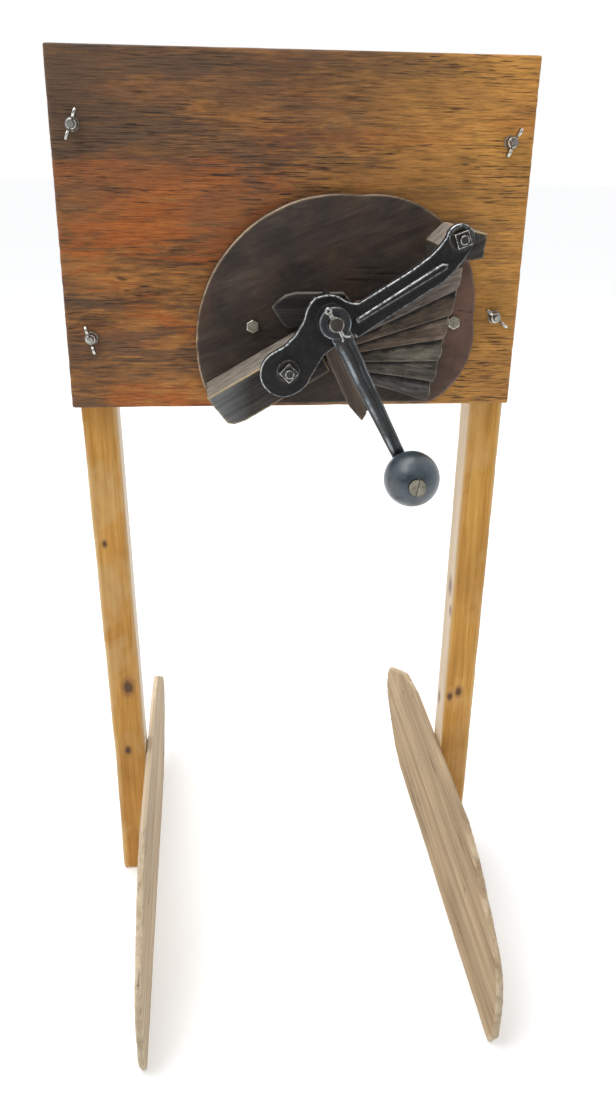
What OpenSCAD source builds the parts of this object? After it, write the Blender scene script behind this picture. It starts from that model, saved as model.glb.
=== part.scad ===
// Hand-cranked corn sheller mounted on a home-made wooden display stand.
// X runs to the right, Y runs away from the operator, Z is up.
// The origin is on the floor, under the middle of the stand.
// Outlines named *_2d are drawn in the X-Z plane of the mounting board.

/* [Mounting board] */
// Width of the plywood board
board_w = 430; // [400:1:470]
// Height of the plywood board
board_h = 312; // [290:1:330]
// Thickness of the plywood board
board_t = 16; // [12:1:20]
// Height of the board's lower edge above the floor
board_z = 579; // [540:1:640]

/* [Legs and feet] */
// Width of a leg across the front
leg_w = 35; // [30:1:38]
// Depth of a leg
leg_d = 35; // [30:1:40]
// Length of a foot plank, front to back
foot_l = 590; // [540:1:640]
// Height of a foot plank
foot_h = 168; // [140:1:180]
// Thickness of a foot plank
foot_t = 7; // [6:1:9]
// Distance between the inner faces of the two feet
foot_gap = 333; // [325:1:340]

/* [Sheller] */
// Thickness of the round back plate
plate_t = 12; // [10:1:14]
// Depth of the throat between the back plate and the iron bridge
throat_d = 62; // [60:1:64]
// Radius of the crankshaft
shaft_r = 6.5; // [6:0.5:8]
// Drop of each leaf's right end below the one in front of it
leaf_drop = 22.6; // [20:0.2:24]

/* [Crank] */
// Distance from the crankshaft to the knob's screw
crank_throw = 146; // [110:1:150]
// Angle of the crank arm at rest, from the X axis
crank_rest = -62.6; // [-75:0.1:-50]
// Radius of the ball knob
knob_r = 24.5; // [20:0.5:28]

/* [Hidden] */
$fn = 64;

// Depth positions, front faces first
board_y = -19;
plate_y = board_y - plate_t;
throat_y = plate_y - throat_d;
bridge_t = 8;
bridge_y = throat_y - bridge_t;
boss_y = bridge_y - 7;
board_back = board_y + board_t;
leg_back = board_back + leg_d;

// Legs and feet
stand_shift = 6.5;
foot_x = [stand_shift - foot_gap / 2, stand_shift + foot_gap / 2];
leg_x = [foot_x[0] - foot_t - leg_w, foot_x[1] + foot_t];
leg_h = board_z + board_h - 25;
// Sideways lean of each leg, from the top of its foot to its own top
LEG_LEAN = [-12.5, 0];
// Height of each foot, the right one sawn a little lower
FOOT_H = [foot_h, foot_h - 11];
foot_screw_z = [45, 120];
foot_screw_r = 2.2;

// Wing-nut bolts: x, z and the angle of the wings
WING = [[-195, 829, 68], [193, 820, 65], [-192, 646, 106], [192, 665, 142]];
wing_bolt_r = 3;
wing_washer_r = 6.2;
wing_span = 28;

// Crankshaft axis
axis_x = 23.5;
axis_z = 678;
fit = 0.05;

// Round back plate: a union of three discs, cut flat along the bottom
PLATE_MAIN = [39, 642, 134];
PLATE_UPPER = [70, 676, 100];
PLATE_LOWER = [97, 649, 74];
plate_bottom = 584;
PLATE_BOLT = [[-42, 659], [149, 662]];
plate_bolt_r = 3.2;

// Long block: drawn along u, from its upper left corner, at block_a degrees
BLOCK = [-86, 606];
block_a = 30;
block_l = 108;
block_w = 35;

// Iron bridge
LOBE_L = [-14, 632, 21];
LOBE_R = [132.5, 744.5, 12.3];
bridge_bolt_r = 4;
bridge_boss_r = 12.5;
nut_seat_r = 10.5;
nut_w = 12.5;
nut_t = 7;

// Fan of leaves: every lower edge starts from one point and ends at leaf_end_x
leaves = 6;
leaf_gap = 2;
leaf_t = (throat_d - leaf_gap) / leaves;
leaf_w = 46;
leaf_end_x = 133;
FAN = [-14, 631];
fan_top_z = 699;
drum_relief = 26;
nail_r = 1.2;
NAIL_X = [66, 84];

// Narrow two-ply slat that hangs below the hub, drawn along its own left edge
SLAT = [22, 640];
slat_a = -64;
SLAT_PLY = [
    [[-13, 0], [48, 0], [65.7, 4.7], [61, 12], [40, 14.5], [-13, 15]],
    [[4, 2], [50, 2], [64, 8], [62, 15], [40, 17], [4, 16]]];
SLAT_NAIL = [[-4, 8], [14, 9], [40, 9]];

// Drum on the crankshaft
drum_r = 14;
tooth_r = 18;
drum_y = [throat_y + 14, plate_y - 16];
drum_mid = (drum_y[0] + drum_y[1]) / 2;
drum_pin_r = 2;
drum_pin_a = 22.5;
tooth_columns = 8;
tooth_rows = 4;
tooth_w = 4;

// Rear end of the crankshaft
shaft_gap = 0.4;
bush_r = 11;
bush_flange_r = 19;
bush_flange_t = 3;
collar_l = 9;
collar_r = 14;
collar_y = board_back + bush_flange_t + shaft_gap;
collar_screw_r = 2.5;
rear_block_t = leaf_t;

// Crank: depths count forward from the bridge's boss
crank_hub_r = 13.7;
crank_hub_l = 18;
crank_y = boss_y - shaft_gap;
hub_front = crank_y - crank_hub_l;
arm_t = 9;
arm_front = hub_front + 1;
arm_w = [18.5, 11.5];
eye_r = 12.5;
eye_t = 12;
eye_front = arm_front - 3;
shaft_front = hub_front - 8;
cross_pin_y = hub_front - 4;
cross_pin_r = 2.2;
cross_pin_l = 27;

// Knob, which turns on its own screw
knob_screw_r = 3.5;
knob_washer_t = 1;
knob_back = eye_front - knob_washer_t - shaft_gap;
knob_y = knob_back - knob_r + 0.5;
knob_neck_r = 11;
screw_head_r = 7.5;
screw_head_t = 3;
seat_y = knob_y - knob_r + 3;

// ---- helpers ----

// Extrudes an X-Z outline from depth y0 (front) to y1 (back)
module slab(y0, y1) {
    translate([0, y1, 0]) rotate([90, 0, 0]) linear_extrude(y1 - y0) children();
}

// Round bar along Y at x, z from depth y0 (front) to y1 (back)
module bar(x, z, r, y0, y1) {
    translate([x, y1, z]) rotate([90, 0, 0]) cylinder(r = r, h = y1 - y0);
}

// Moves a shape drawn at the origin to the crank's knob end
module at_knob() {
    translate([axis_x + crank_throw * cos(crank_rest), 0,
        axis_z + crank_throw * sin(crank_rest)]) children();
}

// Places a shape drawn in the long block's own axes
module at_block() {
    translate(BLOCK) rotate(block_a) children();
}

// Height of the lower edge of leaf k at x
function leaf_low(k, x) =
    FAN[1] + (x - FAN[0]) * (fan_top_z - k * leaf_drop - FAN[1]) / (leaf_end_x - FAN[0]);

// Front and back depth of leaf k
function leaf_y(k) = plate_y - (leaves - k) * leaf_t;

// Nail places for leaf k, in the band that the leaf in front covers
function nail_z(k, x) = leaf_low(k, x) + leaf_w * 0.4;

// ---- stand ----

module backboard() {
    color("#8a4b1f") difference() {
        translate([-board_w / 2, board_y, board_z]) cube([board_w, board_t, board_h]);
        for (w = WING) bar(w[0], w[1], wing_bolt_r, board_y - 1, board_back + 1);
        for (b = PLATE_BOLT) bar(b[0], b[1], plate_bolt_r, board_y - 1, board_back + 1);
        for (b = [LOBE_L, LOBE_R]) bar(b[0], b[1], bridge_bolt_r, board_y - 1, board_back + 1);
        bar(axis_x, axis_z, bush_r, board_y - 1, board_back + 1);
    }
}

// Leg, upright beside the foot and then leaning a little
module leg_2d(side) {
    x = leg_x[side];
    top = x + LEG_LEAN[side];
    polygon([[x, 0], [x + leg_w, 0], [x + leg_w, foot_h], [top + leg_w, leg_h],
        [top, leg_h], [x, foot_h]]);
}

module leg(side) {
    color("#c98a3c") difference() {
        slab(board_back, leg_back) leg_2d(side);
        for (i = [side, side + 2])
            bar(WING[i][0], WING[i][1], wing_bolt_r, board_back - 1, leg_back + 1);
        for (z = foot_screw_z) foot_screw(side, z);
    }
}

module left_leg() { leg(0); }
module right_leg() { leg(1); }

// Countersunk screw at height z, flush with the leg's outer face, driven into the foot
module foot_screw(side, z) {
    head_t = 4;
    head_r = 4.4;
    tip = leg_w / 2 + foot_t - 1;
    translate([leg_x[side] + leg_w / 2, board_back + leg_d / 2, z])
        rotate([0, side == 0 ? 90 : -90, 0]) rotate_extrude()
            polygon([[0, -leg_w / 2], [head_r, -leg_w / 2], [foot_screw_r, head_t - leg_w / 2],
                [foot_screw_r, tip], [0, tip]]);
}

module foot_screws() {
    color("#6b6a66") for (side = [0, 1]) for (z = foot_screw_z) foot_screw(side, z);
}

// Side view of a foot plank: y, z with a swept front and a clipped rear corner
module foot_2d(h) {
    front = -foot_l / 2;
    rear = foot_l / 2;
    nose_r = 50;
    tail_r = 34;
    nose_z = foot_h * 0.38;
    tail_z = foot_h * 0.43;
    polygon(concat(
        [[front + 14, 0], [front, 22]],
        [for (a = [180 : -15 : 120]) [front + nose_r * (1 + cos(a)), nose_z + nose_r * sin(a)]],
        [[front + 110, h - 10], [front + 160, h]],
        [[rear - 180, h], [rear - 110, h - 10]],
        [for (a = [60 : -20 : -60]) [rear - tail_r * (1 - cos(a)), tail_z + tail_r * sin(a)]],
        [[rear - 80, 8], [rear - 120, 0]]));
}

module foot(side) {
    x0 = side == 0 ? foot_x[0] - foot_t : foot_x[1];
    color("#8d7a5e") difference() {
        translate([x0, 0, 0]) rotate([90, 0, 90]) linear_extrude(foot_t) foot_2d(FOOT_H[side]);
        for (z = foot_screw_z) foot_screw(side, z);
    }
}

module left_foot() { foot(0); }
module right_foot() { foot(1); }

// ---- leg fasteners ----

module leg_bolts() {
    color("#9a9a96") for (w = WING) {
        bar(w[0], w[1], wing_bolt_r, board_y - 14, leg_back);
        translate([w[0], leg_back, w[1]]) rotate([-90, 0, 0]) cylinder(r1 = 7.5, r2 = 4.5, h = 3.5);
    }
}

// Wing nut on the Y axis, seated at y = 0 and open to the front
module wing_nut() {
    hub_r = 5.5;
    hub_l = 7;
    tip_r = 4.6;
    wing_t = 2.4;
    difference() {
        union() {
            rotate([90, 0, 0]) cylinder(r1 = hub_r, r2 = hub_r - 1, h = hub_l);
            translate([0, 0, -wing_t / 2]) linear_extrude(wing_t) for (s = [-1, 1]) {
                polygon([[s * 2, -1], [s * (hub_r - 1), -1.5], [s * (wing_span / 2 - 2), -7],
                    [s * (wing_span / 2 - tip_r - 2), -hub_l - 4], [s * 2, -hub_l + 1]]);
                translate([s * (wing_span / 2 - tip_r), -hub_l - 2]) circle(r = tip_r);
            }
        }
        rotate([90, 0, 0]) translate([0, 0, -1]) cylinder(r = wing_bolt_r, h = 3 * hub_l);
    }
}

module wing_nuts() {
    color("#b4b4ae") for (w = WING)
        translate([w[0], board_y - 1.4, w[1]]) rotate([0, -w[2], 0]) wing_nut();
}

module wing_washers() {
    color("#a2a29c") for (w = WING) difference() {
        bar(w[0], w[1], wing_washer_r, board_y - 1.4, board_y);
        bar(w[0], w[1], wing_bolt_r, board_y - 2, board_y + 1);
    }
}

// ---- sheller: fixed parts ----

module plate_2d() {
    intersection() {
        union() {
            intersection() {
                translate([PLATE_MAIN[0], PLATE_MAIN[1]]) circle(r = PLATE_MAIN[2]);
                translate([PLATE_LOWER[0] - 300, plate_bottom - 10]) square([300, 300]);
            }
            translate([PLATE_UPPER[0], PLATE_UPPER[1]]) circle(r = PLATE_UPPER[2]);
            translate([PLATE_LOWER[0], PLATE_LOWER[1]]) circle(r = PLATE_LOWER[2]);
        }
        translate([-150, plate_bottom]) square([400, 300]);
    }
}

module back_plate() {
    color("#4a382c") difference() {
        slab(plate_y, board_y) plate_2d();
        for (b = PLATE_BOLT) bar(b[0], b[1], plate_bolt_r, plate_y - 1, board_y + 1);
        for (b = [LOBE_L, LOBE_R]) bar(b[0], b[1], bridge_bolt_r, plate_y - 1, board_y + 1);
        bar(axis_x, axis_z, bush_r, plate_y - 1, board_y + 1);
        for (x = NAIL_X) nail(leaves - 1, x);
    }
}

// Hex prism along Y, between depths y0 and y1
module hex(x, z, flats, y0, y1) {
    translate([x, y1, z]) rotate([90, 30, 0]) cylinder(d = flats / cos(30), h = y1 - y0, $fn = 6);
}

module plate_bolts() {
    color("#a8a08a") for (b = PLATE_BOLT) {
        bar(b[0], b[1], plate_bolt_r, plate_y, board_back + 9);
        hex(b[0], b[1], 11, plate_y - 4.5, plate_y);
    }
}

module plate_nuts() {
    color("#8f8a7c") for (b = PLATE_BOLT) difference() {
        hex(b[0], b[1], 11, board_back, board_back + 5);
        bar(b[0], b[1], plate_bolt_r, board_back - 1, board_back + 6);
    }
}

// Wooden cheek around the shaft, flat on the back plate
module rear_bearing_block() {
    color("#40342b") difference() {
        slab(plate_y - rear_block_t, plate_y) polygon([[-25, 677.5], [-19, 684], [-12, 689],
            [-2, 691.5], [42, 691.5], [51, 682], [51, 668], [40, 654], [14, 654], [9, 661.5],
            [-8, 657.5], [-14, 660.5]]);
        bar(axis_x, axis_z, bush_r, plate_y - rear_block_t - 1, plate_y + 1);
    }
}

module rear_bushing() {
    color("#55504a") difference() {
        union() {
            bar(axis_x, axis_z, bush_r, plate_y - rear_block_t, board_back);
            bar(axis_x, axis_z, bush_flange_r, board_back, board_back + bush_flange_t);
        }
        bar(axis_x, axis_z, shaft_r + fit, plate_y - 30, board_back + 10);
    }
}

// Long block, in its own axes: u along the top edge, v down
module long_block_2d() {
    polygon([[0, 0], [block_l, 0], [block_l, -block_w], [19, -block_w], [9, -33], [4, -29]]);
}

module long_block() {
    color("#6f5d4a") difference() {
        slab(throat_y, plate_y) at_block() long_block_2d();
        bar(LOBE_L[0], LOBE_L[1], bridge_bolt_r, throat_y - 1, plate_y + 1);
    }
}

module short_block() {
    color("#5c4b3b") difference() {
        slab(throat_y, plate_y)
            polygon([[117, 722], [118, 738], [133, 753.5], [158, 748], [156, 727]]);
        bar(LOBE_R[0], LOBE_R[1], bridge_bolt_r, throat_y - 1, plate_y + 1);
    }
}

module disc2(p) { translate([p[0], p[1]]) circle(r = p[2]); }

module bridge_2d() {
    disc2(LOBE_L);
    disc2([LOBE_L[0] - 4, LOBE_L[1] - 2.5, LOBE_L[2]]);
    disc2(LOBE_R);
    disc2([axis_x - 2.5, axis_z - 1, 21]);
    // Left arm, flaring in a hollow curve from the lobe to the hub
    polygon([[-37, 637], [-32.6, 642.2], [-23.8, 649.6], [-16, 655.2], [-8, 663.6],
        [-1.8, 673.9], [1.7, 683.2], [4.6, 691], [8.5, 695.3], [14, 697], [33, 693.8],
        [39, 691], [46, 690.8], [44, 664], [30, 655], [17, 645], [8, 629], [2, 620],
        [-4, 612.5]]);
    // Right arm
    polygon([[36, 692.5], [41, 690.6], [47, 690.8], [52, 694], [91, 718], [107, 730],
        [113, 736], [120, 745], [144, 742], [143, 737], [137, 726.8], [126.2, 713.6],
        [120.7, 708.4], [107.9, 700.5], [98.8, 694.3], [85, 686], [71.5, 676.8], [46, 660]]);
}

module iron_bridge() {
    color("#26282b") difference() {
        union() {
            slab(bridge_y, throat_y) bridge_2d();
            bar(axis_x, axis_z, bridge_boss_r, boss_y, bridge_y);
            bar(axis_x, axis_z, 14, throat_y, throat_y + 4);
            // Raised rib along the right arm
            slab(bridge_y - 3, bridge_y)
                polygon([[46, 673.5], [44, 677.5], [117.5, 724.5], [122.5, 724], [122.5, 719.8]]);
            for (b = [LOBE_L, LOBE_R]) bar(b[0], b[1], nut_seat_r, bridge_y - 1, bridge_y);
        }
        bar(axis_x, axis_z, shaft_r + fit, boss_y - 1, throat_y + 5);
        for (b = [LOBE_L, LOBE_R]) bar(b[0], b[1], bridge_bolt_r, bridge_y - 2, throat_y + 1);
    }
}

module bridge_bolts() {
    color("#45433f") for (b = [LOBE_L, LOBE_R]) {
        bar(b[0], b[1], bridge_bolt_r, bridge_y - nut_t - 7, board_back);
        translate([b[0], board_back, b[1]]) rotate([-90, 0, 0]) cylinder(r1 = 9, r2 = 6, h = 4.5);
    }
}

module bridge_washers() {
    color("#3a3a3a") for (b = [LOBE_L, LOBE_R]) difference() {
        bar(b[0], b[1], nut_seat_r - 1.5, bridge_y - 2.5, bridge_y - 1);
        bar(b[0], b[1], bridge_bolt_r, bridge_y - 3, bridge_y);
    }
}

module bridge_nuts() {
    turn = [45, 20];
    color("#4c4a46") for (i = [0, 1]) {
        b = i == 0 ? LOBE_L : LOBE_R;
        difference() {
            translate([b[0], bridge_y - 2.5 - nut_t / 2, b[1]]) rotate([0, -turn[i], 0])
                cube([nut_w, nut_t, nut_w], center = true);
            bar(b[0], b[1], bridge_bolt_r, bridge_y - 12, bridge_y);
        }
    }
}

// ---- fan of leaves ----

module leaf_2d(k) {
    inner_x = k == 0 ? 44 : 8;
    width = k == 0 ? 34 : k == 1 ? 37 : leaf_w;
    taper = k == 0 ? 13 : k == 1 ? 3 : 0;
    end_x = leaf_end_x + [5, 4, 1.5, 0, -1, -4][k];
    difference() {
        polygon([[inner_x, leaf_low(k, inner_x)],
            [end_x - 3, leaf_low(k, end_x - 3)],
            [end_x, leaf_low(k, end_x) + 6],
            [end_x + 1.5, leaf_low(k, end_x) + width - 4],
            [end_x - 3, leaf_low(k, end_x) + width],
            [inner_x, leaf_low(k, inner_x) + width - taper]]);
        translate([axis_x, axis_z]) circle(r = drum_relief);
        // End of the long block, with a 1 mm gap
        at_block() translate([-20, -2 * block_w]) square([block_l + 21, 4 * block_w]);
        // Rear bearing block, on the last leaf's level
        if (k == leaves - 1) translate([0, 653]) square([52, 60]);
        // Room below the short block
        translate([112, 720.5]) square([60, 60]);
    }
}

// Nail of leaf k: goes through it and into what is behind
module nail(k, x) {
    reach = k == leaves - 1 ? plate_t - 2 : leaf_t - 2;
    bar(x, nail_z(k, x), nail_r, leaf_y(k), leaf_y(k) + leaf_t + reach);
}

module leaf(k, shade) {
    color(shade) difference() {
        slab(leaf_y(k), leaf_y(k) + leaf_t) leaf_2d(k);
        for (x = NAIL_X) nail(k, x);
        if (k > 0) for (x = NAIL_X) nail(k - 1, x);
        if (k == 1) slat_nail(0);
    }
}

module leaf_1() { leaf(0, "#4d4339"); }
module leaf_2() { leaf(1, "#5b4a3c"); }
module leaf_3() { leaf(2, "#5f5044"); }
module leaf_4() { leaf(3, "#7a6f58"); }
module leaf_5() { leaf(4, "#6e6452"); }
module leaf_6() { leaf(5, "#4f4a44"); }

module leaf_nails() {
    color("#5a5854") for (k = [0 : leaves - 1]) for (x = NAIL_X) nail(k, x);
}

// ---- narrow slat ----

module slat(ply) {
    color("#8a7358") difference() {
        slab(leaf_y(ply), leaf_y(ply) + leaf_t)
            translate(SLAT) rotate(slat_a) polygon(SLAT_PLY[ply]);
        for (i = [0 : len(SLAT_NAIL) - 1]) slat_nail(i);
    }
}

module front_slat() { slat(0); }
module second_slat() { slat(1); }

// Nail i: driven from behind, so that it doesn't reach the front face
module slat_nail(i) {
    p = SLAT_NAIL[i];
    bar(SLAT[0] + p[0] * cos(slat_a) - p[1] * sin(slat_a),
        SLAT[1] + p[0] * sin(slat_a) + p[1] * cos(slat_a),
        nail_r, leaf_y(0) + 3, leaf_y(1) + leaf_t);
}

module slat_nails() {
    color("#5a5854") for (i = [0 : len(SLAT_NAIL) - 1]) slat_nail(i);
}

// ---- crankshaft and what turns with it ----

// Pin across the shaft axis at depth y, turned by a about the axis
module across(y, a, r, l) {
    translate([axis_x, y, axis_z]) rotate([0, -a, 0]) rotate([0, 90, 0])
        cylinder(r = r, h = l, center = true);
}

module crankshaft() {
    color("#3b3936") difference() {
        bar(axis_x, axis_z, shaft_r, shaft_front, collar_y + collar_l + 4);
        across(cross_pin_y, crank_rest, cross_pin_r, cross_pin_l);
        across(drum_mid, drum_pin_a, drum_pin_r, 3 * drum_r);
    }
}

module shelling_drum() {
    pitch = (drum_y[1] - drum_y[0]) / tooth_rows;
    color("#3a3530") difference() {
        union() {
            bar(axis_x, axis_z, drum_r, drum_y[0], drum_y[1]);
            for (row = [0 : tooth_rows - 1]) for (c = [0 : tooth_columns - 1])
                translate([axis_x, drum_y[0] + (row + 0.5) * pitch, axis_z])
                    rotate([0, c * 360 / tooth_columns, 0])
                        translate([(drum_r + tooth_r) / 2 - 1, 0, 0])
                            cube([tooth_r - drum_r + 2, tooth_w, tooth_w], center = true);
        }
        bar(axis_x, axis_z, shaft_r, drum_y[0] - 1, drum_y[1] + 1);
        across(drum_mid, drum_pin_a, drum_pin_r, 3 * drum_r);
    }
}

module drum_pin() {
    color("#77756f") across(drum_mid, drum_pin_a, drum_pin_r, 2 * drum_r - 0.5);
}

module collar_screw_hole() {
    translate([axis_x, collar_y + collar_l / 2, axis_z + shaft_r])
        cylinder(r = collar_screw_r, h = collar_r - shaft_r + 1.5);
}

module shaft_collar() {
    color("#4a4a4a") difference() {
        bar(axis_x, axis_z, collar_r, collar_y, collar_y + collar_l);
        bar(axis_x, axis_z, shaft_r, collar_y - 1, collar_y + collar_l + 1);
        collar_screw_hole();
    }
}

module collar_screw() {
    color("#77756f") collar_screw_hole();
}

// Outline of the arm, from the shaft to the eye
module arm_2d() {
    polygon([[0, -arm_w[0] / 2], [crank_throw, -arm_w[1] / 2],
        [crank_throw, arm_w[1] / 2], [0, arm_w[0] / 2]]);
}

module crank_arm() {
    color("#23262a") difference() {
        union() {
            bar(axis_x, axis_z, crank_hub_r, hub_front, crank_y);
            slab(arm_front, arm_front + arm_t)
                translate([axis_x, axis_z]) rotate(crank_rest) arm_2d();
            at_knob() bar(0, 0, eye_r, eye_front, eye_front + eye_t);
        }
        bar(axis_x, axis_z, shaft_r, hub_front - 1, crank_y + 1);
        at_knob() bar(0, 0, knob_screw_r, eye_front - 1, eye_front + eye_t + 1);
    }
}

module cross_pin() {
    color("#c8c8c2") across(cross_pin_y, crank_rest, cross_pin_r, cross_pin_l);
}

module knob_washer() {
    color("#6a6a66") at_knob() difference() {
        bar(0, 0, 10, eye_front - knob_washer_t, eye_front);
        bar(0, 0, knob_screw_r, eye_front - 2 * knob_washer_t, eye_front + 1);
    }
}

module knob_screw() {
    head_back = seat_y - shaft_gap;
    color("#a08a52") at_knob() difference() {
        union() {
            bar(0, 0, knob_screw_r, head_back, eye_front + eye_t + 1);
            bar(0, 0, screw_head_r, head_back - screw_head_t, head_back);
        }
        translate([0, head_back - screw_head_t, 0]) rotate([0, 10, 0])
            cube([1.6, 3, 3 * screw_head_r], center = true);
    }
}

// Half section of the knob: ball, neck, screw hole and counterbore, with Y upwards
module knob_half_2d() {
    hole = knob_screw_r + fit;
    difference() {
        union() {
            translate([0, knob_y]) circle(r = knob_r);
            translate([0, knob_back - 6]) square([knob_neck_r, 6]);
        }
        translate([0, knob_back]) square(3 * knob_r);
        translate([-3 * knob_r + hole, knob_y - 2 * knob_r]) square([3 * knob_r, 4 * knob_r]);
        translate([0, seat_y - knob_r]) square([screw_head_r + 0.4, knob_r]);
    }
}

module ball_knob() {
    color("#4c5a60") at_knob() rotate([-90, 0, 0]) rotate_extrude() knob_half_2d();
}

backboard();
left_leg();
right_leg();
left_foot();
right_foot();
foot_screws();
leg_bolts();
wing_nuts();
wing_washers();
back_plate();
plate_bolts();
plate_nuts();
rear_bearing_block();
rear_bushing();
long_block();
short_block();
iron_bridge();
bridge_bolts();
bridge_washers();
bridge_nuts();
leaf_1();
leaf_2();
leaf_3();
leaf_4();
leaf_5();
leaf_6();
leaf_nails();
front_slat();
second_slat();
slat_nails();
crankshaft();
shelling_drum();
drum_pin();
shaft_collar();
collar_screw();
crank_arm();
cross_pin();
knob_washer();
knob_screw();
ball_knob();
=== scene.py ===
import math

import bmesh
import bpy
import numpy as np
from mathutils import Matrix, Vector


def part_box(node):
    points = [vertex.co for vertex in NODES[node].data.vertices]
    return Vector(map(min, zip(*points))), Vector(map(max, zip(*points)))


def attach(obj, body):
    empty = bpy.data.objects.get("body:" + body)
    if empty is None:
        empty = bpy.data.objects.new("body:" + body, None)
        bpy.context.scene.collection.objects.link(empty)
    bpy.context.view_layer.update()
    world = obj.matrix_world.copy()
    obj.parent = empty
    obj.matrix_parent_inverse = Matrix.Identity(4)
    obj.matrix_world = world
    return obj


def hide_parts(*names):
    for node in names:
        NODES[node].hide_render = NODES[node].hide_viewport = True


# Corn sheller on a wooden stand: the visual pieces over the CAD nodes. Lengths are in metres,
# and a depth given in millimetres is multiplied by MM.

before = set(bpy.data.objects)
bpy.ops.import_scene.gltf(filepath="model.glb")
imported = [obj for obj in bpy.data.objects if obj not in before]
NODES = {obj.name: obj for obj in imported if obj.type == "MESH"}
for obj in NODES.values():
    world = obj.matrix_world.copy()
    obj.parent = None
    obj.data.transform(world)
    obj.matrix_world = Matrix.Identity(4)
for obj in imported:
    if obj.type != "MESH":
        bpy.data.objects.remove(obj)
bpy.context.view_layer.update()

MM = 0.001

# ---------------------------------------------------------------- noise on points


def lattice(i, seed):
    """A value from -1 to 1 for each whole-number point of i."""
    h = (i[:, 0] * 73856093) ^ (i[:, 1] * 19349663) ^ (i[:, 2] * 83492791) ^ (seed * 668265263)
    h = h & 0xFFFFFFFF
    h = ((h ^ (h >> 15)) * 1274126177) & 0xFFFFFFFF
    h = ((h ^ (h >> 13)) * 1911520717) & 0xFFFFFFFF
    h = h ^ (h >> 16)
    return (h & 0xFFFFFF) / float(0x7FFFFF) - 1.0


def vnoise(p, seed):
    """Smooth value noise from -1 to 1 at the points p."""
    f = np.floor(p)
    t = p - f
    t = t * t * (3 - 2 * t)
    i = f.astype(np.int64)
    total = np.zeros(len(p))
    for dx in (0, 1):
        wx = t[:, 0] if dx else 1 - t[:, 0]
        for dy in (0, 1):
            wy = t[:, 1] if dy else 1 - t[:, 1]
            for dz in (0, 1):
                wz = t[:, 2] if dz else 1 - t[:, 2]
                total += wx * wy * wz * lattice(i + np.array([dx, dy, dz]), seed)
    return total


def fbm(p, freq, seed, octaves=3):
    """Layered noise; freq is waves per metre along each axis."""
    q = p * np.array(freq, float)
    total, amp, norm = np.zeros(len(p)), 1.0, 0.0
    for k in range(octaves):
        total += amp * vnoise(q + 17.3 * k, seed + 31 * k)
        norm += amp
        amp *= 0.5
        q = q * 2.03
    return total / norm


def along(angle):
    """Rotation that lays a grain drawn at this angle in the X-Z plane along the first axis."""
    c, s = math.cos(math.radians(angle)), math.sin(math.radians(angle))
    return np.array([[c, 0, s], [0, 1, 0], [-s, 0, c]])


# Rotations that lay a grain along Z or along Y onto the first axis
GRAIN_Z = np.array([[0, 0, 1], [0, 1, 0], [-1, 0, 0]], float)
GRAIN_Y = np.array([[0, 1, 0], [-1, 0, 0], [0, 0, 1]], float)

# ---------------------------------------------------------------- meshes


def points(me):
    """The mesh's vertices as an array, in metres."""
    co = np.zeros(len(me.vertices) * 3, np.float32)
    me.vertices.foreach_get("co", co)
    return co.reshape(-1, 3).astype(float)


def set_points(me, co):
    me.vertices.foreach_set("co", co.astype(np.float32).ravel())
    me.update()


def normals(me):
    """The mesh's vertex normals as an array."""
    no = np.zeros(len(me.vertices) * 3, np.float32)
    me.vertex_normals.foreach_get("vector", no)
    return no.reshape(-1, 3).astype(float)


def edge_pairs(me):
    """The two vertex numbers of each edge."""
    e = np.zeros(len(me.edges) * 2, np.int32)
    me.edges.foreach_get("vertices", e)
    return e.reshape(-1, 2)


def relaxed(co, pairs, rounds, factor=0.5):
    """Laplacian smoothing."""
    a, b = pairs[:, 0], pairs[:, 1]
    n = len(co)
    degree = np.bincount(a, minlength=n) + np.bincount(b, minlength=n)
    degree = np.maximum(degree, 1)[:, None]
    for _ in range(rounds):
        total = np.stack([np.bincount(a, co[b, k], n) + np.bincount(b, co[a, k], n)
                          for k in range(3)], axis=1)
        co = co + factor * (total / degree - co)
    return co


def note(me, name, values):
    """Stores one number per vertex for the material to read."""
    layer = me.attributes.get(name) or me.attributes.new(name, "FLOAT", "POINT")
    layer.data.foreach_set("value", values.astype(np.float32))


def link(name, me):
    ob = bpy.data.objects.new(name, me)
    bpy.context.scene.collection.objects.link(ob)
    me.polygons.foreach_set("use_smooth", [True] * len(me.polygons))
    return ob


def skin(name, node, voxel):
    """One closed mesh wrapped over a CAD node, with square cells of that size in millimetres."""
    bm = bmesh.new()
    bm.from_mesh(NODES[node].data)
    bmesh.ops.remove_doubles(bm, verts=bm.verts, dist=1e-6)
    me = bpy.data.meshes.new(name)
    bm.to_mesh(me)
    bm.free()
    ob = link(name, me)
    m = ob.modifiers.new("wrap", "REMESH")
    m.mode = "VOXEL"
    m.voxel_size = voxel * MM
    dg = bpy.context.evaluated_depsgraph_get()
    final = bpy.data.meshes.new_from_object(ob.evaluated_get(dg))
    bpy.data.objects.remove(ob)
    bpy.data.meshes.remove(me)
    final.name = name
    return link(name, final)


def convexity(me, co, rounds):
    """1 on the sharpest outer edges, 0 on flats, below 0 in inner corners."""
    no = normals(me)
    d = ((co - relaxed(co, edge_pairs(me), rounds, 0.6)) * no).sum(1)
    top = np.percentile(np.abs(d), 99.7)
    return np.clip(d / max(top, 1e-9), -1, 1)


def keep_in(co, node):
    """Clamps points to a CAD node's box."""
    lo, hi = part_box(node)
    return np.clip(co, list(lo), list(hi))


def finish_piece(ob, node, body, material):
    """Gives a piece its material and puts it in the CAD node's place on its body."""
    ob.data.materials.clear()
    ob.data.materials.append(material)
    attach(ob, body)
    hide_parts(node)
    return ob


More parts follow.
